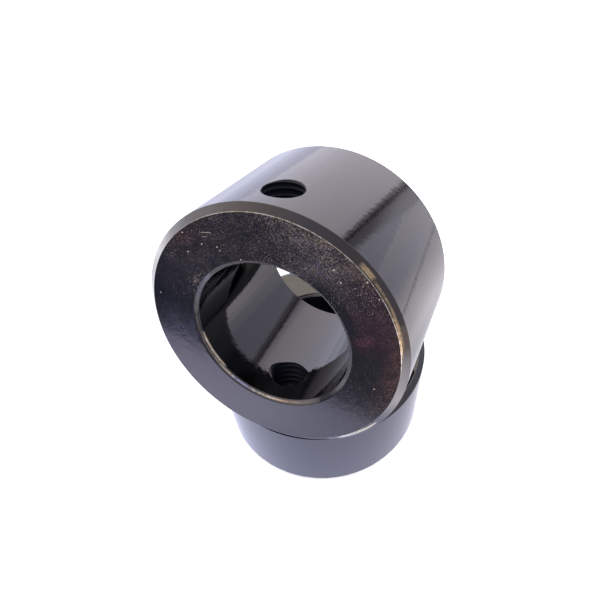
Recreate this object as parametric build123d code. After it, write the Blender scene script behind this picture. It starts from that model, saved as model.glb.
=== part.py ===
"""Rigid sleeve coupling: two bored steel sleeves with tapped walls and set screws.

The short sleeve stands on its end. The long sleeve lies across its mouth, tipped so that
its far edge drops a little way into the short sleeve's bore. Each sleeve grips its shaft
with two hexagon-socket set screws, opposite each other in one tapped hole each.

Millimetres, +Z up. The origin is the centre of the short sleeve's bottom face, and the
long sleeve points down towards +Y.
"""
import os
from math import cos, radians, sin

from build123d import *

# Both sleeves, measured from the face beside the tapped holes, their front face
outer_radius = 24.0
bore_radius = 14.0
long_length = 30.0
short_length = 22.5
outer_chamfer_axial = 0.95
outer_chamfer_radial = 1.30
bore_chamfer = 0.70
edge_round = 0.12

# Tapped holes, M8 x 1.25, one pair opposite each other in each sleeve
hole_from_face = 7.2
thread_pitch = 1.25
tapped_crest_radius = 3.40
tapped_root_radius = 4.00
hole_mouth_radius = 3.75
cutter_past_wall = 2.0

# Set screws, M8 x 6: a cup point, a hexagon socket, and thread rings that run clear of the hole's
screw_length = 6.0
screw_crest_radius = 3.32
screw_root_radius = 2.80
thread_runout = 0.35
socket_across_flats = 4.0
socket_depth = 3.0
socket_mouth_radius = 2.45
cup_radius = 2.0
cup_rim_width = 0.25
cup_depth = 0.9
point_length = 1.0

# How far each screw's tip stands back from the bore, towards the outside
tip_back_run_in = 0.10
tip_back_backed_out = 4.50

# How the long sleeve leans on the short one
lean_degrees = 15.55
reach_past_rim = 18.0
rest_gap = 0.04

# Turn of each hole pair about its sleeve's axis
long_holes_turn = -2.8
short_holes_turn = 65.0


def sleeve_profile(length):
    """Half section of a sleeve, its length along Y and its radius along X."""
    corners = [
        (bore_radius, bore_chamfer),
        (bore_radius + bore_chamfer, 0),
        (outer_radius - outer_chamfer_radial, 0),
        (outer_radius, outer_chamfer_axial),
        (outer_radius, length - outer_chamfer_axial),
        (outer_radius - outer_chamfer_radial, length),
        (bore_radius + bore_chamfer, length),
        (bore_radius, length - bore_chamfer),
    ]
    outline = Polygon(*corners, align=None)
    return fillet(outline.vertices(), edge_round)


def along_radius(turn, axial):
    """Frame whose Z points outward along the hole at this turn and distance from the face."""
    direction = Vector(cos(radians(turn)), sin(radians(turn)), 0)
    return Plane(origin=(0, 0, axial), x_dir=(0, 0, 1), z_dir=direction)


def ring_thread(root, crest, start, end):
    """Corners, radius against height, of thread rings from a start to an end height."""
    turns = int((end - start) / thread_pitch)
    flat = thread_pitch / 8
    corners = []
    for turn in range(turns):
        foot = start + turn * thread_pitch
        corners += [
            (root, foot + flat),
            (crest, foot + thread_pitch / 2 - flat / 2),
            (crest, foot + thread_pitch / 2 + flat / 2),
            (root, foot + thread_pitch - flat),
        ]
    return corners


def tapped_hole_cutter():
    """Solid that cuts one threaded hole, with its Z along the hole from the sleeve's axis."""
    start = bore_radius - cutter_past_wall
    mouth = outer_radius - (hole_mouth_radius - tapped_crest_radius)
    end = outer_radius + cutter_past_wall
    mouth_end = hole_mouth_radius + cutter_past_wall
    rings = ring_thread(tapped_root_radius, tapped_crest_radius, start, mouth)
    corners = [(0, start)] + rings
    corners += [(tapped_crest_radius, mouth), (mouth_end, end), (0, end)]
    section = Plane.XZ * Polygon(*corners, align=None)
    return revolve(section, Axis.Z)


def sleeve(length, holes_turn):
    """One sleeve with its axis on Z, its front face at Z = 0 and its pair of tapped holes."""
    body = revolve(Plane.XZ * sleeve_profile(length), Axis.Z)
    cutter = tapped_hole_cutter()
    for turn in (holes_turn, holes_turn + 180):
        body -= along_radius(turn, hole_from_face) * cutter
    return body


def set_screw():
    """Set screw with its cup point's rim at Z = 0 and its socket end at the top."""
    thread_end = screw_length - thread_runout
    rings = ring_thread(screw_root_radius, screw_crest_radius, point_length, thread_end)
    corners = [(0, cup_depth), (cup_radius, 0), (cup_radius + cup_rim_width, 0)]
    corners += [(screw_root_radius, point_length)] + rings
    corners += [(screw_root_radius, screw_length), (0, screw_length)]
    blank = revolve(Plane.XZ * Polygon(*corners, align=None), Axis.Z)
    hexagon = RegularPolygon(socket_across_flats / 2, 6, major_radius=False)
    socket = Pos(0, 0, screw_length - socket_depth) * extrude(hexagon, socket_depth)
    top = (Align.CENTER, Align.CENTER, Align.MAX)
    mouth = Cone(0, socket_mouth_radius, socket_mouth_radius, align=top)
    return blank - socket - Pos(0, 0, screw_length) * mouth


def screw_in_hole(turn, tip_back):
    """A set screw in the hole at this turn, its tip this far out from the bore's wall."""
    tip = bore_radius + tip_back
    return along_radius(turn, hole_from_face) * Pos(0, 0, tip) * set_screw()


def long_sleeve_place():
    """Where the long sleeve's front face and axis lie when it rests on the short one."""
    lean = radians(lean_degrees)
    axis = Vector(0, cos(lean), -sin(lean))
    underside = Vector(0, -sin(lean), -cos(lean))
    rim = Vector(0, -(bore_radius + bore_chamfer), short_length)
    above_rim = rim - underside * (outer_radius + rest_gap)
    face_centre = above_rim - axis * (long_length - reach_past_rim)
    return Plane(origin=face_centre, x_dir=-underside, z_dir=axis).location


def build():
    """Every piece in its place, by node name."""
    lying = long_sleeve_place()
    standing = Plane(origin=(0, 0, short_length), x_dir=(0, -1, 0), z_dir=(0, 0, -1)).location
    opposite = 180
    return {
        "long_sleeve": lying * sleeve(long_length, long_holes_turn),
        "short_sleeve": standing * sleeve(short_length, short_holes_turn),
        "long_sleeve_top_screw": lying * screw_in_hole(long_holes_turn, tip_back_run_in),
        "long_sleeve_bottom_screw": lying
        * screw_in_hole(long_holes_turn + opposite, tip_back_backed_out),
        "short_sleeve_left_screw": standing
        * screw_in_hole(short_holes_turn, tip_back_run_in),
        "short_sleeve_right_screw": standing
        * screw_in_hole(short_holes_turn + opposite, tip_back_run_in),
    }


if __name__ == "__main__":
    os.makedirs("parts", exist_ok=True)
    for node, piece in build().items():
        export_step(piece, f"parts/{node}.step")
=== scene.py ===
"""Studio picture of the rigid sleeve coupling: its sleeves, set screws and surroundings.

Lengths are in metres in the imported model's frame. The patterns of the coat are worked out in
millimetres along, round and out from each sleeve's axis, measured from its front face.
"""

from math import cos, pi, radians, sin

import bpy
from mathutils import Matrix, Vector

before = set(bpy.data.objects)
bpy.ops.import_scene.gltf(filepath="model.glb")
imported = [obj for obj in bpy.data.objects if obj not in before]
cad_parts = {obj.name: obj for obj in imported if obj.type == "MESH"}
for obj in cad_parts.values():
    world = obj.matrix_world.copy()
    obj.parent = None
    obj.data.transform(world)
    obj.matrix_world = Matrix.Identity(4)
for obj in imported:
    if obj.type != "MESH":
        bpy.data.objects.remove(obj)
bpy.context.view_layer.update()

MM = 0.001

# The sleeves, as the part's own drawing gives them, in millimetres and degrees
OUTER_RADIUS = 24.0
BORE_RADIUS = 14.0
CHAMFER_RADIAL = 1.30
CHAMFER_AXIAL = 0.95
BORE_CHAMFER = 0.70
LONG_LENGTH = 30.0
SHORT_LENGTH = 22.5
HOLE_FROM_FACE = 7.2
HOLE_RADIUS = 4.0
LONG_HOLES_CLOCK = -2.8
SHORT_HOLES_CLOCK = 65.0
LEAN = 15.55

# Radii between which an end face is flat
FACE_INSIDE = BORE_RADIUS + BORE_CHAMFER
FACE_OUTSIDE = OUTER_RADIUS - CHAMFER_RADIAL

# Centre of the long sleeve's front face
LONG_FACE_CENTRE = (0, -0.019816, 0.048877)

# Camera: where it stands, the way it looks, in degrees, and its lens
CAMERA_PLACE = (0.029646, -0.062095, 0.117972)
AZIMUTH = 23.620
ELEVATION = 50.394
ROLL = -2.778
LENS = 30.504
SHIFT = (-0.04725, 0.01001)
CLIP = (0.005, 20)


def aim_camera():
    """A camera that looks down at the coupling from the front right."""
    scene = bpy.context.scene
    data = bpy.data.cameras.new("camera")
    data.lens = LENS
    data.shift_x, data.shift_y = SHIFT
    data.clip_start, data.clip_end = CLIP
    camera = bpy.data.objects.new("camera", data)
    scene.collection.objects.link(camera)
    round_z = Matrix.Rotation(radians(AZIMUTH), 4, "Z")
    tilt = Matrix.Rotation(radians(90 - ELEVATION), 4, "X")
    roll = Matrix.Rotation(radians(ROLL), 4, "Z")
    camera.matrix_world = Matrix.Translation(CAMERA_PLACE) @ round_z @ tilt @ roll
    scene.camera = camera


def rgba(colour):
    """A triple with its alpha added, or a socket as it is."""
    return colour if isinstance(colour, bpy.types.NodeSocket) else (*colour, 1.0)


class Graph:
    """The node tree of one material or world, with a short call for each kind of node."""

    def __init__(self, tree):
        self.tree = tree
        self.tree.nodes.clear()

    def add(self, kind, inputs=None, **settings):
        node = self.tree.nodes.new("ShaderNode" + kind)
        for name, value in settings.items():
            setattr(node, name, value)
        for key, value in (inputs or {}).items():
            if isinstance(value, bpy.types.NodeSocket):
                self.tree.links.new(value, node.inputs[key])
            else:
                node.inputs[key].default_value = value
        return node

    def math(self, operation, first, second=0.0, third=0.0):
        inputs = {0: first, 1: second, 2: third}
        return self.add("Math", inputs, operation=operation).outputs[0]

    def vector(self, operation, first, second=(0.0, 0.0, 0.0)):
        node = self.add("VectorMath", {0: first, 1: second}, operation=operation)
        return node.outputs["Value" if operation in ("DOT_PRODUCT", "LENGTH") else "Vector"]

    def scaled(self, vector, factor):
        return self.add("VectorMath", {0: vector, 3: factor}, operation="SCALE").outputs["Vector"]

    def noise(self, where, scale, detail=2.0, roughness=0.5):
        inputs = {"Vector": where, "Scale": scale, "Detail": detail, "Roughness": roughness}
        return self.add("TexNoise", inputs).outputs["Fac"]

    def cells(self, where, scale):
        """Distance to the nearest of many scattered points, and that point's random colour."""
        node = self.add("TexVoronoi", {"Vector": where, "Scale": scale})
        return node.outputs["Distance"], node.outputs["Color"]

    def step(self, value, low, high, start=0.0, end=1.0):
        """Smooth change from start to end as the value goes from low to high."""
        inputs = {"Value": value, "From Min": low, "From Max": high,
                  "To Min": start, "To Max": end}
        return self.add("MapRange", inputs, interpolation_type="SMOOTHSTEP").outputs[0]

    def fade(self, value, low, high):
        """1 up to low, falling smoothly to 0 at high."""
        return self.step(value, low, high, 1.0, 0.0)

    def band(self, value, middle, half, soft):
        """1 within half of the middle, fading to 0 over soft."""
        away = self.math("ABSOLUTE", self.math("SUBTRACT", value, middle))
        return self.fade(away, half, half + soft)

    def product(self, *values):
        result = values[0]
        for value in values[1:]:
            result = self.math("MULTIPLY", result, value)
        return result

    def total(self, *values):
        result = values[0]
        for value in values[1:]:
            result = self.math("ADD", result, value)
        return result

    def brightness(self, colour):
        return self.add("RGBToBW", {0: colour}).outputs[0]

    def tint(self, colour, other, share):
        """A colour moved towards another one by a share from 0 to 1."""
        inputs = {0: share, 6: rgba(colour), 7: rgba(other)}
        return self.add("Mix", inputs, data_type="RGBA", clamp_factor=True).outputs[2]

    def ramp(self, value, stops):
        """Colour or number against a value: stops are pairs of place and what it is there."""
        node = self.add("ValToRGB", {0: value})
        bar = node.color_ramp
        bar.elements.remove(bar.elements[0])
        bar.elements[0].position = stops[0][0]
        for place, _ in stops[1:]:
            bar.elements.new(place)
        for element, (_, wanted) in zip(bar.elements, stops):
            colour = (wanted,) * 3 if isinstance(wanted, (int, float)) else wanted
            element.color = rgba(colour)
        return node.outputs[0]


def new_material(name):
    material = bpy.data.materials.new(name)
    material.use_nodes = True
    return material


# ---------------------------------------------------------------- the studio

# The sky that lights the floor and the coupling
SKY_COLOUR = (0.96, 0.96, 1.0)
SKY_STRENGTH = 2.2

# The floor's paint, mottled between two greys: scale of the mottle to a metre, and its detail
FLOOR_DARKER = (0.91, 0.91, 0.91)
FLOOR_LIGHTER = (0.95, 0.95, 0.95)
FLOOR_MOTTLE = (60.0, 4.0)
FLOOR_ROUGHNESS = 0.9

# Half widths of the floor and of the table card, and the radius of the wall round them
FLOOR_HALF = 3.0
TABLE_HALF = 2.0
WALL_RADIUS = 2.5

# Heights of the level cards over the floor
TABLE_LIFT = 0.0002
PAPER_LIFT = 0.0004

# The dark upright behind the sleeves: left and right, how far back, bottom and top
POST_LEFT = 0.064
POST_RIGHT = 0.104
POST_BACK = 0.22
POST_HEIGHTS = (0.04, 0.35)

# The painted shadow along the edge of a sheet of paper, a dark strip: left and right, front and
# back
PAPER_SIDES = (0.094, 0.097)
PAPER_ENDS = (0.02, 0.40)
PAPER_EDGE_SHADOW = (0.35, 0.32, 0.36)

# The dark bench front on the left: its two ends on the floor, its height, and its colours
BENCH_LEFT = (-0.6, -0.172)
BENCH_RIGHT = (0.05, -0.077)
BENCH_HEIGHT = 0.078
BENCH_DARK = (0.13, 0.15, 0.24)
BENCH_LIT = (0.34, 0.31, 0.38)
BENCH_FADE = (-0.03, 0.04)

# What the tables of colours below are divided by inside a colour ramp, and multiplied by after it
WALL_PEAK = 4.0
TABLE_PEAK = 6.0

# Colours of the wall, low down and high up, by azimuth in degrees from +Y towards +X
WALL_LOW = (
    (-180, (0.60, 0.52, 0.58)),
    (-140, (0.70, 0.62, 0.68)),
    (-108, (0.48, 0.45, 0.55)),
    (-103, (2.20, 2.10, 2.30)),
    (-97, (3.30, 3.20, 3.60)),
    (-82, (3.30, 3.25, 3.60)),
    (-62, (2.00, 1.98, 2.40)),
    (-38, (1.98, 1.94, 2.35)),
    (-24, (2.10, 2.02, 2.30)),
    (-10, (1.98, 1.85, 2.08)),
    (12, (1.98, 1.84, 2.04)),
    (20, (1.32, 1.26, 1.48)),
    (36, (0.98, 0.96, 1.18)),
    (60, (0.88, 0.86, 1.08)),
    (110, (0.95, 0.85, 0.90)),
    (135, (1.00, 0.82, 0.86)),
    (180, (0.60, 0.52, 0.58)),
)
WALL_HIGH = (
    (-180, (0.95, 0.88, 1.05)),
    (-139, (1.45, 1.23, 1.24)),
    (-120, (2.05, 1.70, 1.62)),
    (-105, (2.70, 2.45, 2.55)),
    (-70, (2.40, 2.30, 2.60)),
    (-40, (2.05, 2.00, 2.45)),
    (-15, (2.40, 2.20, 2.42)),
    (8, (2.25, 2.02, 2.25)),
    (20, (1.02, 1.00, 1.24)),
    (60, (0.92, 0.90, 1.12)),
    (120, (0.95, 0.80, 0.85)),
    (150, (0.76, 0.68, 0.76)),
    (180, (0.95, 0.88, 1.05)),
)

# Rise in degrees over which the wall's low colours pass into its high ones
WALL_BLEND = (2, 26)

# Warm light high on the wall behind, and where it comes in: rise in degrees, and distance back
WALL_WARM = (2.8, 2.5, 2.2)
WARM_RISE = (36, 50)
WARM_BACK = (-0.3, 0.6)

# Colours of the table close to the sleeves, round them and far off, by azimuth
TABLE_CLOSE = (
    (-180, (1.04, 1.07, 1.50)),
    (-110, (1.05, 1.07, 1.35)),
    (-60, (0.85, 0.90, 1.15)),
    (0, (0.75, 0.76, 0.88)),
    (60, (0.96, 0.93, 1.02)),
    (110, (1.02, 1.02, 1.30)),
    (140, (1.06, 1.08, 1.48)),
    (180, (1.04, 1.07, 1.50)),
)
TABLE_MIDDLE = (
    (-180, (1.55, 1.53, 2.10)),
    (-165, (2.00, 1.95, 2.60)),
    (-145, (1.90, 1.84, 2.45)),
    (-118, (0.75, 0.72, 0.85)),
    (-107, (1.00, 0.96, 1.12)),
    (-99, (2.50, 2.45, 2.65)),
    (-93, (2.80, 2.75, 2.95)),
    (-65, (1.00, 1.02, 1.25)),
    (-30, (0.88, 0.88, 1.05)),
    (20, (1.25, 1.20, 1.32)),
    (36, (1.22, 1.15, 1.25)),
    (47, (1.60, 1.50, 1.60)),
    (75, (1.50, 1.42, 1.56)),
    (98, (1.45, 1.38, 1.60)),
    (120, (3.00, 2.80, 3.10)),
    (128, (4.40, 4.10, 4.50)),
    (134, (3.60, 3.35, 3.70)),
    (141, (1.05, 0.95, 1.05)),
    (155, (1.05, 1.00, 1.15)),
    (180, (1.55, 1.53, 2.10)),
)
TABLE_FAR = (
    (-180, (0.60, 0.55, 0.70)),
    (-105, (0.45, 0.43, 0.53)),
    (-100, (2.50, 2.40, 2.60)),
    (-96, (4.70, 4.60, 4.90)),
    (-93, (5.30, 5.20, 5.50)),
    (-68, (1.80, 1.80, 2.20)),
    (-42, (1.50, 1.54, 1.95)),
    (10, (1.34, 1.28, 1.48)),
    (26, (1.50, 1.42, 1.60)),
    (38, (1.12, 1.08, 1.28)),
    (90, (1.10, 1.05, 1.20)),
    (126, (2.00, 1.60, 1.50)),
    (134, (1.10, 0.85, 0.80)),
    (142, (0.80, 0.65, 0.65)),
    (180, (0.60, 0.55, 0.70)),
)

# The dark under the short sleeve's bore, and the reach from the origin at which it, the close
# ring and the middle ring each pass into the next one out
TABLE_SHADOW = (0.02, 0.02, 0.03)
SHADOW_EDGE = (0.0125, 0.0145)
CLOSE_TO_MIDDLE = (0.042, 0.072)
MIDDLE_TO_FAR = (0.11, 0.24)

# Glare over a limit, the paler light it fades to, and the reach over which it does
GLARE_LIMIT = 3.2
GLARE_FADED = (3.2, 3.1, 3.4)
GLARE_FADE = (0.30, 1.20)

# Colours across the dark upright from left to right, high up and low down, the strength they
# are shown at, and the heights between which the low ones pass into the high ones
POST_HIGH = (
    (0.00, (0.50, 0.46, 0.50)),
    (0.10, (0.36, 0.33, 0.36)),
    (0.20, (0.20, 0.18, 0.20)),
    (0.25, (0.07, 0.06, 0.07)),
    (0.32, (0.07, 0.06, 0.07)),
    (0.38, (0.21, 0.19, 0.22)),
    (0.75, (0.25, 0.23, 0.27)),
    (1.00, (0.52, 0.50, 0.60)),
)
POST_LOW = (
    (0.00, (0.80, 0.75, 0.80)),
    (0.08, (0.40, 0.38, 0.41)),
    (0.16, (0.46, 0.43, 0.46)),
    (0.22, (0.22, 0.20, 0.22)),
    (0.33, (0.20, 0.18, 0.20)),
    (0.38, (0.46, 0.43, 0.48)),
    (0.60, (0.53, 0.50, 0.56)),
    (1.00, (0.55, 0.52, 0.60)),
)
POST_STRENGTH = 2.0
POST_BLEND = (0.062, 0.105)


def add_mesh(name, corners, faces):
    mesh = bpy.data.meshes.new(name)
    mesh.from_pydata(corners, [], faces)
    made = bpy.data.objects.new(name, mesh)
    bpy.context.scene.collection.objects.link(made)
    return made


def only_in_reflections(thing):
    """Shows a studio card in reflections and nowhere else."""
    thing.visible_camera = False
    thing.visible_diffuse = False
    thing.visible_shadow = False
    thing.visible_transmission = False
    thing.visible_volume_scatter = False


def glow(name, colour):
    """A plain emission material. The colour is a triple or a function of the graph."""
    material = new_material(name)
    graph = Graph(material.node_tree)
    value = colour(graph) if callable(colour) else rgba(colour)
    light = graph.add("Emission", {"Color": value})
    graph.add("OutputMaterial", {"Surface": light.outputs[0]})
    return material


def compass(graph, place, stops, peak):
    """Colour by azimuth from a list of (degrees, colour), none of it brighter than the peak."""
    split = graph.add("SeparateXYZ", {0: place})
    azimuth = graph.math("ARCTAN2", split.outputs[0], split.outputs[1])
    turn = graph.math("MULTIPLY_ADD", azimuth, 0.5 / pi, 0.5)
    dimmed = [(angle / 360 + 0.5, [part / peak for part in colour]) for angle, colour in stops]
    return graph.scaled(graph.ramp(turn, dimmed), peak)


def wall_colours(graph):
    """The room: a bright wall behind, a window on the left, a dimmer side on the right."""
    place = graph.add("TexCoord").outputs["Object"]
    split = graph.add("SeparateXYZ", {0: place})
    rise = graph.vector("DOT_PRODUCT", graph.vector("NORMALIZE", place), (0, 0, 1))
    low = compass(graph, place, WALL_LOW, WALL_PEAK)
    high = compass(graph, place, WALL_HIGH, WALL_PEAK)
    blend, warm = [
        graph.step(rise, sin(radians(start)), sin(radians(full)))
        for start, full in (WALL_BLEND, WARM_RISE)
    ]
    behind = graph.step(split.outputs[1], *WARM_BACK)
    return graph.tint(graph.tint(low, high, blend), WALL_WARM, graph.product(warm, behind))


def table_colours(graph):
    """The table top: shaded close to the sleeves, glaring on the left and on the right in front."""
    place = graph.add("TexCoord").outputs["Object"]
    reach = graph.vector("LENGTH", place)
    close, middle, far = [
        compass(graph, place, stops, TABLE_PEAK) for stops in (TABLE_CLOSE, TABLE_MIDDLE, TABLE_FAR)
    ]
    inner = graph.tint(close, middle, graph.step(reach, *CLOSE_TO_MIDDLE))
    outer = graph.tint(inner, far, graph.step(reach, *MIDDLE_TO_FAR))
    glaring = graph.math("GREATER_THAN", graph.brightness(outer), GLARE_LIMIT)
    faded = graph.tint(outer, GLARE_FADED,
                       graph.product(graph.step(reach, *GLARE_FADE), glaring))
    return graph.tint(TABLE_SHADOW, faded, graph.step(reach, *SHADOW_EDGE))


def post_colours(graph):
    """A dark upright whose right side is smoky high up and lit low down."""
    split = graph.add("SeparateXYZ", {0: graph.add("TexCoord").outputs["Object"]})
    offset = graph.math("SUBTRACT", split.outputs[0], POST_LEFT)
    across = graph.math("DIVIDE", offset, POST_RIGHT - POST_LEFT)
    high = graph.ramp(across, POST_HIGH)
    low = graph.ramp(across, POST_LOW)
    shades = graph.tint(low, high, graph.step(split.outputs[2], *POST_BLEND))
    return graph.scaled(shades, POST_STRENGTH)


def bench_colours(graph):
    """A dark bench front that lightens towards its right end."""
    split = graph.add("SeparateXYZ", {0: graph.add("TexCoord").outputs["Object"]})
    return graph.tint(BENCH_DARK, BENCH_LIT, graph.step(split.outputs[0], *BENCH_FADE))


def level_corners(sides, ends, height):
    """Corners of a level rectangle."""
    (left, right), (front, back) = sides, ends
    return [(left, front, height), (right, front, height),
            (right, back, height), (left, back, height)]


def upright_corners(left, right, bottom, top):
    """Corners of an upright rectangle over two points of the floor."""
    return [(*left, bottom), (*right, bottom), (*right, top), (*left, top)]


def reflector(name, corners, colour):
    """A flat card that only reflections see."""
    card = add_mesh(name, corners, [(0, 1, 2, 3)])
    card.data.materials.append(glow(name, colour))
    only_in_reflections(card)


def build_floor():
    """A pale floor under a white sky."""
    world = bpy.data.worlds.new("sky")
    bpy.context.scene.world = world
    world.use_nodes = True
    graph = Graph(world.node_tree)
    sky = graph.add("Background", {"Color": rgba(SKY_COLOUR), "Strength": SKY_STRENGTH})
    graph.add("OutputWorld", {"Surface": sky.outputs[0]})

    whole = (-FLOOR_HALF, FLOOR_HALF)
    floor = add_mesh("floor", level_corners(whole, whole, 0), [(0, 1, 2, 3)])
    material = new_material("floor")
    graph = Graph(material.node_tree)
    mottle = graph.noise(graph.add("TexCoord").outputs["Object"], *FLOOR_MOTTLE)
    tone = graph.tint(FLOOR_DARKER, FLOOR_LIGHTER, mottle)
    paint = graph.add("BsdfPrincipled", {"Base Color": tone, "Roughness": FLOOR_ROUGHNESS})
    graph.add("OutputMaterial", {"Surface": paint.outputs[0]})
    floor.data.materials.append(material)


def build_surroundings():
    """The wall, the table, the dark things on it and a painted shadow along a paper's edge, which
    the coat mirrors.
    """
    bpy.ops.mesh.primitive_uv_sphere_add(segments=48, ring_count=24, radius=WALL_RADIUS)
    walls = bpy.context.object
    walls.name = "walls"
    walls.data.materials.append(glow("walls", wall_colours))
    only_in_reflections(walls)

    whole = (-TABLE_HALF, TABLE_HALF)
    reflector("table", level_corners(whole, whole, TABLE_LIFT), table_colours)
    post = upright_corners((POST_LEFT, POST_BACK), (POST_RIGHT, POST_BACK), *POST_HEIGHTS)
    reflector("dark_post", post, post_colours)
    # painted shadow: a dark strip for the shadow along the paper's edge
    edge_shadow_corners = level_corners(PAPER_SIDES, PAPER_ENDS, PAPER_LIFT)
    reflector("paper_edge_shadow", edge_shadow_corners, PAPER_EDGE_SHADOW)
    bench = upright_corners(BENCH_LEFT, BENCH_RIGHT, 0, BENCH_HEIGHT)
    reflector("dark_bench", bench, bench_colours)


# ---------------------------------------------------------------- the coat

# How much of a grain's radius is fully bright
GRAIN_CORE = 0.4


class Sleeve:
    """Where a sleeve lies: the centre of its front face, its axis and its 12 o'clock."""

    def __init__(self, face, axis, up, length, holes):
        self.face = Vector(face)
        self.axis = Vector(axis).normalized()
        self.up = Vector(up).normalized()
        self.side = self.axis.cross(self.up)
        self.length = length
        self.holes = holes


class SleeveGraph(Graph):
    """A material graph that knows where a sleeve lies. Lengths in it are millimetres."""

    def __init__(self, tree, sleeve):
        super().__init__(tree)
        self.sleeve = sleeve
        place = self.add("TexCoord").outputs["Object"]
        self.away = self.scaled(self.vector("SUBTRACT", place, sleeve.face), 1 / MM)
        self.depth = self.vector("DOT_PRODUCT", self.away, sleeve.axis)
        along = self.scaled(sleeve.axis, self.depth)
        self.spoke = self.vector("SUBTRACT", self.away, along)
        self.radius = self.vector("LENGTH", self.spoke)
        self.end = self.math("MINIMUM", self.depth,
                             self.math("SUBTRACT", sleeve.length, self.depth))

    def flat(self, depth):
        """1 on the flat of an end face, for a depth under that face."""
        skin = self.fade(depth, *FACE_SKIN)
        outside = self.fade(self.radius, FACE_OUTSIDE - 0.10, FACE_OUTSIDE + 0.02)
        inside = self.step(self.radius, FACE_INSIDE - 0.04, FACE_INSIDE + 0.10)
        return self.product(skin, outside, inside)

    def front_end(self):
        """1 on the front end down to the foot of its chamfers."""
        return self.fade(self.depth, CHAMFER_AXIAL - 0.05, CHAMFER_AXIAL + 0.05)

    def at_clock(self, clock):
        """Unit vector out from the axis at a clock angle in degrees."""
        turn = radians(clock)
        return self.sleeve.up * cos(turn) + self.sleeve.side * sin(turn)

    def sector(self, middle, half, soft):
        """1 within half of a clock angle, fading to 0 over soft, in degrees."""
        unit = self.vector("NORMALIZE", self.spoke)
        near = self.vector("DOT_PRODUCT", unit, self.at_clock(middle))
        return self.step(near, cos(radians(half + soft)), cos(radians(half)))

    def by_clock(self, stops):
        """Colour or number by clock angle from a list of (degrees, value)."""
        side = self.vector("DOT_PRODUCT", self.spoke, self.sleeve.side)
        up = self.vector("DOT_PRODUCT", self.spoke, self.sleeve.up)
        turn = self.math("MULTIPLY_ADD", self.math("ARCTAN2", side, up), 0.5 / pi, 0.5)
        return self.ramp(turn, [(clock / 360 + 0.5, value) for clock, value in stops])

    def dot(self, clock, radius, size):
        """A round grain on the front face."""
        centre = self.at_clock(clock) * radius
        away = self.vector("LENGTH", self.vector("SUBTRACT", self.away, centre))
        return self.fade(away, size * GRAIN_CORE, size)

    def dash(self, clock, radius, slant, length, width):
        """A fine scratch on the front face, slanted from the tangent by some degrees."""
        centre = self.at_clock(clock) * radius
        away = self.vector("SUBTRACT", self.away, centre)
        run = self.at_clock(clock + 90 + slant)
        rise = self.at_clock(clock + slant)
        along = self.band(self.vector("DOT_PRODUCT", away, run), 0.0, length / 2, length / 4)
        across = self.band(self.vector("DOT_PRODUCT", away, rise), 0.0, width / 2, width / 2)
        return self.product(along, across, self.fade(self.depth, 0.1, 0.3))

    def in_holes(self):
        """1 inside the two tapped holes, mouths included."""
        level = self.math("SUBTRACT", self.depth, HOLE_FROM_FACE)
        hole = 0.0
        for clock in (self.sleeve.holes, self.sleeve.holes + 180):
            run = self.vector("DOT_PRODUCT", self.spoke, self.at_clock(clock))
            across = self.vector("DOT_PRODUCT", self.spoke, self.at_clock(clock + 90))
            reach = self.math("SQRT", self.total(self.product(across, across),
                                                 self.product(level, level)))
            inside = self.product(self.fade(reach, HOLE_RADIUS + 0.02, HOLE_RADIUS + 0.10),
                                  self.step(self.radius, BORE_RADIUS, BORE_RADIUS + 0.1),
                                  self.fade(self.radius, OUTER_RADIUS - 0.1, OUTER_RADIUS),
                                  self.math("GREATER_THAN", run, 0.0))
            hole = self.math("MAXIMUM", hole, inside)
        return hole


# Dust and stains under the coat of the long sleeve's front face, by clock angle in degrees; the
# bluish lift round -106 is a painted highlight
INNER_TINTS = (
    (-180, (0.0006, 0.0006, 0.0012)),
    (-116, (0.0010, 0.0010, 0.0018)),
    # painted highlight: the bluish rows from -106 to -94
    (-106, (0.0110, 0.0110, 0.0200)),
    (-94, (0.0075, 0.0075, 0.0120)),
    (-84, (0.0012, 0.0012, 0.0016)),
    (-78, (0.0034, 0.0030, 0.0034)),
    (-50, (0.0135, 0.0110, 0.0120)),
    (-20, (0.0130, 0.0100, 0.0105)),
    (0, (0.0140, 0.0110, 0.0120)),
    (18, (0.0290, 0.0250, 0.0275)),
    (35, (0.0290, 0.0240, 0.0250)),
    (46, (0.0130, 0.0088, 0.0100)),
    (62, (0.0120, 0.0048, 0.0080)),
    (74, (0.0125, 0.0042, 0.0070)),
    (84, (0.0022, 0.0019, 0.0024)),
    (104, (0.0026, 0.0022, 0.0025)),
    (120, (0.0060, 0.0050, 0.0056)),
    (138, (0.0026, 0.0024, 0.0050)),
    (180, (0.0006, 0.0006, 0.0012)),
)
OUTER_TINTS = (
    (-180, (0.0006, 0.0006, 0.0012)),
    (-114, (0.0010, 0.0010, 0.0018)),
    # painted highlight: the bluish row at -105
    (-105, (0.0055, 0.0055, 0.0110)),
    (-97, (0.0010, 0.0010, 0.0014)),
    (-80, (0.0010, 0.0010, 0.0016)),
    (-60, (0.0085, 0.0072, 0.0080)),
    (-42, (0.0230, 0.0130, 0.0118)),
    (-28, (0.0150, 0.0120, 0.0128)),
    (-5, (0.0160, 0.0130, 0.0128)),
    (18, (0.0400, 0.0330, 0.0300)),
    (38, (0.0330, 0.0245, 0.0215)),
    (50, (0.0140, 0.0076, 0.0090)),
    (65, (0.0160, 0.0058, 0.0084)),
    (80, (0.0235, 0.0110, 0.0092)),
    (98, (0.0230, 0.0118, 0.0095)),
    (112, (0.0125, 0.0090, 0.0085)),
    (130, (0.0050, 0.0044, 0.0075)),
    (180, (0.0006, 0.0006, 0.0012)),
)

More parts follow.
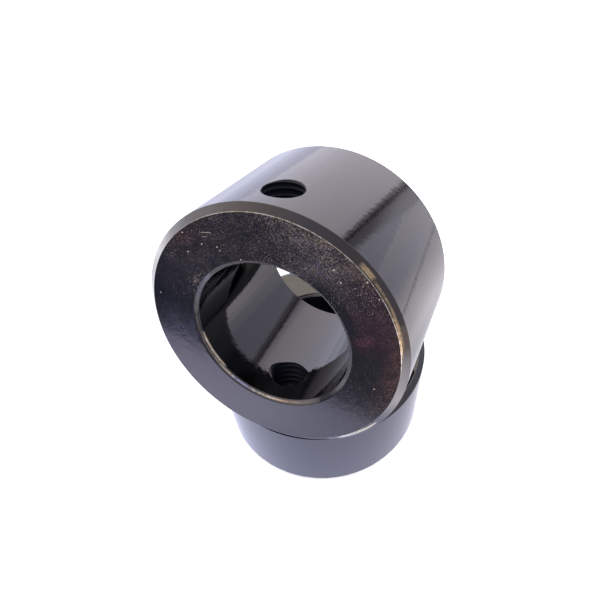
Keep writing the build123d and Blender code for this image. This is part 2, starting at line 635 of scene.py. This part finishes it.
# How much metal shows along the long sleeve's outer edges and its front bore rim, by clock angle:
# partly real wear, partly painted glints of the rounded edges
EDGE_WEAR_AND_GLINT = (
    (-180, 0.06), (-60, 0.05), (-24, 0.22), (12, 0.30), (45, 0.20), (62, 0.40),
    (74, 0.90), (80, 0.60), (88, 0.05), (180, 0.06),
)
RIM_WEAR_AND_GLINT = (
    (-180, 0.40), (-168, 0.28), (-145, 0.32), (-134, 0.14), (-120, 0.05), (-60, 0.04),
    (100, 0.02), (144, 0.01), (156, 0.07), (168, 0.24), (180, 0.38),
)

# Single bright grains: clock angle, radius, size
GRIT = (
    (-38, 19.1, 0.15), (-48, 19.4, 0.15), (-30.5, 17.7, 0.14), (-30, 17.0, 0.12), (-82, 21.3, 0.14),
    (-19, 14.9, 0.13), (32, 19.6, 0.15), (38, 18.8, 0.15), (-43, 22.2, 0.15), (101, 19.4, 0.14),
    (44, 22.3, 0.16), (52, 22.3, 0.13),
)
GRIT_STRENGTH = 0.7

# Fine scratches: clock angle, radius, slant, length, width
SCRATCHES = ((-32, 20.4, 19, 1.5, 0.05), (-34, 19.9, 16, 0.8, 0.04), (-61, 15.6, 20, 0.9, 0.05))
SCRATCH_STRENGTH = 0.35

# Bare metal on the front chamfer, rubbed through in the first rows and a painted highlight in the
# last two: clock, half angle, softness, radius, half width, share
RUBBED_AND_HIGHLIGHT = (
    (41, 0.5, 4, 23.25, 0.20, 0.16),
    (60, 9, 9, 23.12, 0.10, 0.10),
    (66, 3, 5, 23.00, 0.08, 0.22),
    (73, 3, 4, 22.90, 0.05, 0.50),
    # painted highlight: bright bare metal for the thin yellow highlight at the foot of the chamfer
    (132, 8, 5, 23.34, 0.07, 1.15),
    (134, 5, 3, 22.92, 0.04, 0.80),
)

# Tints of the bare metal, the last one the yellow of the painted highlight at the chamfer's foot:
# clock angle, half angle, softness, share, colour
METAL_TINTS = (
    (-156, 5, 5, 0.8, (0.42, 0.42, 0.80)),
    (167, 7, 6, 0.7, (0.80, 0.52, 0.28)),
    # painted highlight: yellow for the bright metal at the foot of the chamfer
    (132, 14, 3, 1.0, (1.00, 0.90, 0.52)),
)

# Layers of grains: cells in a millimetre, grain size in cells, share of empty cells, brightness
GRAIN_LAYERS = (
    (1.3, 0.13, 0.80, 0.9),
    (2.6, 0.22, 0.55, 0.6),
    (4.2, 0.32, 0.40, 0.45),
)

# How much likelier a cell is to hold a grain in a cluster
CLUSTER_LUCK = 0.35

# Noise patterns: scale in cells to a millimetre, detail, and roughness where it isn't a half
COAT_CLOUD = (0.12, 3.0)
COAT_PATCHES = (0.6, 4.0)
COAT_RIPPLE = (0.9, 3.0, 0.55)
FINE_DUST = (4.4, 2.0, 0.6)
BROAD_DUST = (0.5, 4.0, 0.6)
DUST_HUES = (1.1, 5.0, 0.7)
PLAIN_DUST = (2.6, 3.0, 0.7)
GRIT_DRIFTS = (0.22, 4.0, 0.6)
METAL_STREAKS = (1.6, 4.0, 0.65)
OXIDE_CLOUD = (0.8, 4.0)
OXIDE_PATCHES = (3.0, 4.0)
OXIDE_GRAIN = (5.0, 4.0)

# Where things lie round the long sleeve: clock angle, half angle, softness
CLEAN_SECTOR = (52, 18, 14)
SPOT_SECTOR = (72.5, 1.0, 3.0)
TOP_GRIT_SECTOR = (-10, 55, 35)
EDGE_GRIT_SECTOR = (24, 20, 18)
SIDE_GRIT_SECTOR = (108, 14, 14)
CLUSTER_SECTOR = (-61, 5, 9)
BORE_LIP_SECTOR = (-122, 9, 9)
WORN_GOLD_SECTOR = (60, 35, 10)
# painted sheen: where the bore's chamfer is lightened most
SHEEN_SECTOR = (30, 65, 30)
# painted shade: where the foot of the front chamfer is darkened
FOOT_SHADE_SECTOR = (160, 15, 5)

# Depths under an end face between which its dust and grit stop
FACE_SKIN = (0.06, 0.16)

# Colours of the coat and of what shows on it or through it
COAT_DARKER = (0.0003, 0.0005, 0.0012)
COAT_LIGHTER = (0.0012, 0.0012, 0.0018)
CLEAN_COAT = (0.0012, 0.0012, 0.0016)
MAGENTA_SPOT = (0.032, 0.010, 0.017)
WARM_SHIFT = (1.08, 1.00, 0.85)
COOL_SHIFT = (0.95, 0.94, 1.16)
PLAIN_HAZE = (0.024, 0.020, 0.020)
GRIT_COLOUR = (0.50, 0.42, 0.32)
BARE_GOLD = (0.70, 0.56, 0.38)
BARE_STEEL = (0.78, 0.74, 0.72)
WORN_GOLD = (0.86, 0.62, 0.34)
# painted sheen: grey added to light the bore's chamfers
BORE_CHAMFER_SHEEN = (1.0, 0.96, 1.06)
# painted shade: the blue-black of the shaded insides of the tapped holes
HOLE_SHADE = (0.004, 0.005, 0.011)

# The set screws' black oxide
OXIDE_DARKER = (0.020, 0.020, 0.023)
OXIDE_LIGHTER = (0.055, 0.053, 0.055)
OXIDE_METALLIC = 0.85
OXIDE_RELIEF = 0.01

# Index of refraction of the coat, how far it drops at the foot of the front chamfer to paint the
# shade where it rests, and how fully that painted shade is laid on
COAT_IOR = 1.6
FOOT_SHADE_IOR_DROP = -0.58
FOOT_SHADE_SHARE = 0.85

# Specular level of the coat, and how far it drops in the tapped holes to paint the shade inside
# them
COAT_SPECULAR = 0.5
HOLE_SHADE_DROP = -0.38

# Roughness of the clean coat at its smoothest, how much it varies, and what each thing adds
COAT_ROUGHNESS = 0.03
ROUGHNESS_SPREAD = 0.05
GRIT_ROUGHNESS = 0.40
DUST_ROUGHNESS = 0.05
BARE_ROUGHNESS = 0.20
HOLE_ROUGHNESS = 0.35

# Relief of the coat's ripple, the grit and the dust
RIPPLE_HEIGHT = 0.016
GRIT_HEIGHT = 0.02
DUST_HEIGHT = 0.003

# How much metal shows along the short sleeve's edges
PLAIN_WEAR = 0.10


def face_dust_and_highlight(graph, colour, face):
    """Blotchy dust and stains on the marked face, with a painted bluish highlight round clock -106:
    its colour, and how dusty it is.
    """
    inner = graph.by_clock(INNER_TINTS)
    beside_bore = graph.step(graph.radius, 15.4, 17.6, 0.85, 0.0)
    clean = graph.product(graph.sector(*CLEAN_SECTOR), beside_bore)
    inner = graph.tint(inner, CLEAN_COAT, clean)
    spot = graph.product(graph.sector(*SPOT_SECTOR), graph.band(graph.radius, 17.0, 1.1, 1.0))
    inner = graph.tint(inner, MAGENTA_SPOT, graph.product(spot, 0.55))
    outwards = graph.step(graph.radius, 18.6, 22.2)
    tints = graph.tint(inner, graph.by_clock(OUTER_TINTS), outwards)

    fine = graph.step(graph.noise(graph.away, *FINE_DUST), 0.42, 0.66)
    broad = graph.step(graph.noise(graph.away, *BROAD_DUST), 0.34, 0.66)
    amount = graph.product(graph.math("MULTIPLY_ADD", fine, 1.5, 0.35),
                           graph.math("MULTIPLY_ADD", broad, 0.7, 0.6))
    hue = graph.noise(graph.vector("ADD", graph.away, (40, 7, 3)), *DUST_HUES)
    warm = graph.vector("MULTIPLY", tints, WARM_SHIFT)
    cool = graph.vector("MULTIPLY", tints, COOL_SHIFT)
    tints = graph.tint(cool, warm, graph.step(hue, 0.38, 0.62))
    dust_and_highlight = graph.scaled(tints, graph.product(amount, face))
    return graph.vector("ADD", colour, dust_and_highlight), graph.product(fine, face)


def face_haze(graph, colour, face):
    """Thin even dust on a plain face: its colour, and how dusty it is."""
    dusty = graph.step(graph.noise(graph.away, *PLAIN_DUST), 0.45, 0.75)
    haze = graph.product(dusty, face)
    return graph.tint(colour, PLAIN_HAZE, graph.product(haze, 0.6)), haze


def grain_crowd(graph, marked):
    """How thick the grains lie, and where they lie in a cluster."""
    crowd = graph.step(graph.noise(graph.away, *GRIT_DRIFTS), 0.40, 0.62)
    if not marked:
        return crowd, 0.0
    near_edge = graph.step(graph.radius, 17.0, 22.3, 0.25, 1.0)
    crowd = graph.total(graph.product(crowd, graph.sector(*TOP_GRIT_SECTOR), 0.5),
                        graph.product(graph.sector(*EDGE_GRIT_SECTOR), near_edge, 0.9),
                        graph.product(graph.sector(*SIDE_GRIT_SECTOR), 0.3))
    near_bore = graph.fade(graph.radius, 15.2, 17.4)
    cluster = graph.product(graph.sector(*CLUSTER_SECTOR), near_bore)
    return graph.math("MAXIMUM", crowd, cluster), cluster


def face_grit(graph, face, marked):
    """How strongly bright grains show on a face."""
    crowd, cluster = grain_crowd(graph, marked)
    grit = 0.0
    for scale, size, empty, bright in GRAIN_LAYERS:
        distance, chance = graph.cells(graph.away, scale)
        pick = graph.add("SeparateColor", {0: chance})
        luck = graph.math("MULTIPLY_ADD", cluster, CLUSTER_LUCK, pick.outputs[0])
        dot = graph.fade(distance, size * GRAIN_CORE, size)
        chosen = graph.step(luck, empty, 1.0, 0.0, bright)
        grit = graph.math("MAXIMUM", grit, graph.product(dot, chosen, crowd))
    if marked:
        for grain in GRIT:
            grit = graph.math("MAXIMUM", grit, graph.product(graph.dot(*grain), GRIT_STRENGTH))
        for scratch in SCRATCHES:
            line = graph.product(graph.dash(*scratch), SCRATCH_STRENGTH)
            grit = graph.math("MAXIMUM", grit, line)
    return graph.product(grit, face)


def edge_wear_and_glint(graph, marked):
    """Share of bare metal along the edges of the outer chamfers and of the bore's chamfers: partly
    real wear, partly painted glints of the rounded edges.
    """
    end, radius = graph.end, graph.radius
    line = graph.product(graph.band(radius, FACE_OUTSIDE + 0.04, 0.02, 0.06),
                         graph.fade(end, 0.1, 0.2))
    rim = graph.product(graph.band(radius, BORE_RADIUS + 0.32, 0.05, 0.14),
                        graph.fade(end, 0.5, 0.8))
    if not marked:
        return graph.total(graph.product(line, PLAIN_WEAR), graph.product(rim, PLAIN_WEAR))
    nearby = graph.front_end()
    wear_and_glint = graph.total(graph.product(line, graph.by_clock(EDGE_WEAR_AND_GLINT)),
                       graph.product(rim, graph.by_clock(RIM_WEAR_AND_GLINT), nearby))
    lip = graph.product(graph.band(radius, BORE_RADIUS + 0.03, 0.04, 0.06),
                        graph.sector(*BORE_LIP_SECTOR), nearby)
    wear_and_glint = graph.total(wear_and_glint, graph.product(lip, 0.7))
    # the last rows paint the foot's highlight as bright bare metal
    for clock, half, soft, middle, width, share in RUBBED_AND_HIGHLIGHT:
        bare_patch = graph.product(graph.sector(clock, half, soft), nearby,
                               graph.band(radius, middle, width, width), share)
        wear_and_glint = graph.math("MAXIMUM", wear_and_glint, bare_patch)
    return wear_and_glint


def bare_metal(graph, streak, marked):
    """Colour of the metal where the coat is worn through."""
    bare = graph.tint(BARE_GOLD, BARE_STEEL, graph.step(streak, 0.42, 0.60))
    if marked:
        on_chamfer = graph.step(graph.radius, FACE_OUTSIDE + 0.1, FACE_OUTSIDE + 0.2)
        golden = graph.product(on_chamfer, graph.sector(*WORN_GOLD_SECTOR))
        bare = graph.tint(bare, WORN_GOLD, golden)
        for clock, half, soft, share, colour in METAL_TINTS:
            patch = graph.product(graph.sector(clock, half, soft), share)
            bare = graph.tint(bare, colour, patch)
    return bare


def bore_chamfer_sheen(graph, marked):
    """How much painted grey sheen lightens the bore's chamfers, stronger in one sector of the long
    sleeve.
    """
    chamfer = graph.product(graph.fade(graph.radius, FACE_INSIDE - 0.04, FACE_INSIDE + 0.02),
                            graph.fade(graph.end, BORE_CHAMFER - 0.04, BORE_CHAMFER + 0.04))
    if not marked:
        return graph.product(chamfer, 0.03)
    stronger = graph.sector(*SHEEN_SECTOR)
    return graph.product(chamfer, graph.math("MULTIPLY_ADD", stronger, 0.050, 0.008))


def shaded_foot(graph, marked):
    """How strongly a lower reflectance paints shade on the foot of the front chamfer, close to its
    lowest point, where it rests.
    """
    if not marked:
        return 0.0
    foot = graph.step(graph.radius, FACE_OUTSIDE + 0.02, FACE_OUTSIDE + 0.16)
    return graph.product(graph.sector(*FOOT_SHADE_SECTOR), foot, graph.front_end(), FOOT_SHADE_SHARE)


def coating(name, sleeve, marked=False):
    """Glossy black coat on turned steel, with grit on the faces and bright metal at the edges,
    partly painted glints; painted sheen on the bore's chamfers, painted shade in the tapped holes
    and at the chamfer's foot.
    """
    material = new_material(name)
    graph = SleeveGraph(material.node_tree, sleeve)
    away = graph.away
    face = graph.flat(graph.end)
    colour = graph.tint(COAT_DARKER, COAT_LIGHTER, graph.noise(away, *COAT_CLOUD))
    if marked:
        colour, haze = face_dust_and_highlight(graph, colour, graph.flat(graph.depth))
    else:
        colour, haze = face_haze(graph, colour, face)
    grit = face_grit(graph, face, marked)
    colour = graph.tint(colour, GRIT_COLOUR, grit)
    # painted sheen: grey added to light the bore's chamfers
    sheen = graph.scaled(BORE_CHAMFER_SHEEN, bore_chamfer_sheen(graph, marked))
    colour = graph.vector("ADD", colour, sheen)

    streak = graph.noise(away, *METAL_STREAKS)
    broken = graph.math("MULTIPLY_ADD", graph.step(streak, 0.36, 0.58), 0.7, 0.5)
    # bright bare metal at the edges: partly real wear, partly painted glints
    wear_and_glint = graph.product(edge_wear_and_glint(graph, marked), broken)
    bare = bare_metal(graph, streak, marked)

    # painted shade in the tapped holes: a blue-black colour here and less reflection below
    hole = graph.in_holes()
    colour = graph.tint(colour, HOLE_SHADE, hole)
    patchy = graph.noise(away, *COAT_PATCHES)
    clean = graph.math("MULTIPLY_ADD", patchy, ROUGHNESS_SPREAD, COAT_ROUGHNESS)
    roughness = graph.total(clean,
                            graph.product(grit, GRIT_ROUGHNESS),
                            graph.product(haze, DUST_ROUGHNESS),
                            graph.product(wear_and_glint, BARE_ROUGHNESS),
                            graph.product(hole, HOLE_ROUGHNESS))
    height = graph.total(graph.product(graph.noise(away, *COAT_RIPPLE), RIPPLE_HEIGHT),
                         graph.product(grit, GRIT_HEIGHT),
                         graph.product(haze, DUST_HEIGHT))
    bump = graph.add("Bump", {"Height": height, "Distance": MM, "Strength": 1.0})
    coat = graph.add("BsdfPrincipled", {
        "Base Color": graph.tint(colour, bare, wear_and_glint),
        "Roughness": roughness,
        # the drop in index of refraction paints shade at the foot of the front chamfer
        "IOR": graph.math("MULTIPLY_ADD", shaded_foot(graph, marked), FOOT_SHADE_IOR_DROP, COAT_IOR),
        "Metallic": wear_and_glint,
        # the drop in the holes paints the shade inside them
        "Specular IOR Level": graph.math("MULTIPLY_ADD", hole, HOLE_SHADE_DROP, COAT_SPECULAR),
        "Normal": bump.outputs[0],
    })
    graph.add("OutputMaterial", {"Surface": coat.outputs[0]})
    return material


def black_oxide(name):
    """Blackened alloy steel of the set screws."""
    material = new_material(name)
    graph = Graph(material.node_tree)
    place = graph.scaled(graph.add("TexCoord").outputs["Object"], 1 / MM)
    colour = graph.tint(OXIDE_DARKER, OXIDE_LIGHTER, graph.noise(place, *OXIDE_CLOUD))
    roughness = graph.math("MULTIPLY_ADD", graph.noise(place, *OXIDE_PATCHES), 0.2, 0.28)
    grain = graph.noise(place, *OXIDE_GRAIN)
    bump = graph.add("Bump", {"Height": grain, "Distance": OXIDE_RELIEF * MM})
    metal = graph.add("BsdfPrincipled", {
        "Base Color": colour,
        "Metallic": OXIDE_METALLIC,
        "Roughness": roughness,
        "Normal": bump.outputs[0],
    })
    graph.add("OutputMaterial", {"Surface": metal.outputs[0]})
    return material


def dress(node, material):
    """Gives a CAD node its finish."""
    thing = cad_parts[node]
    thing.data.materials.clear()
    thing.data.materials.append(material)


aim_camera()
build_floor()
build_surroundings()
bpy.context.scene.view_settings.view_transform = "Standard"

lean = radians(LEAN)
long_place = Sleeve(face=LONG_FACE_CENTRE, axis=(0, cos(lean), -sin(lean)),
                    up=(0, sin(lean), cos(lean)), length=LONG_LENGTH, holes=LONG_HOLES_CLOCK)
short_place = Sleeve(face=(0, 0, SHORT_LENGTH * MM), axis=(0, 0, -1), up=(0, -1, 0),
                     length=SHORT_LENGTH, holes=SHORT_HOLES_CLOCK)
dress("long_sleeve", coating("long_coat", long_place, marked=True))
dress("short_sleeve", coating("short_coat", short_place))
oxide = black_oxide("black_oxide")
for screw in ("long_sleeve_top_screw", "long_sleeve_bottom_screw",
              "short_sleeve_left_screw", "short_sleeve_right_screw"):
    dress(screw, oxide)
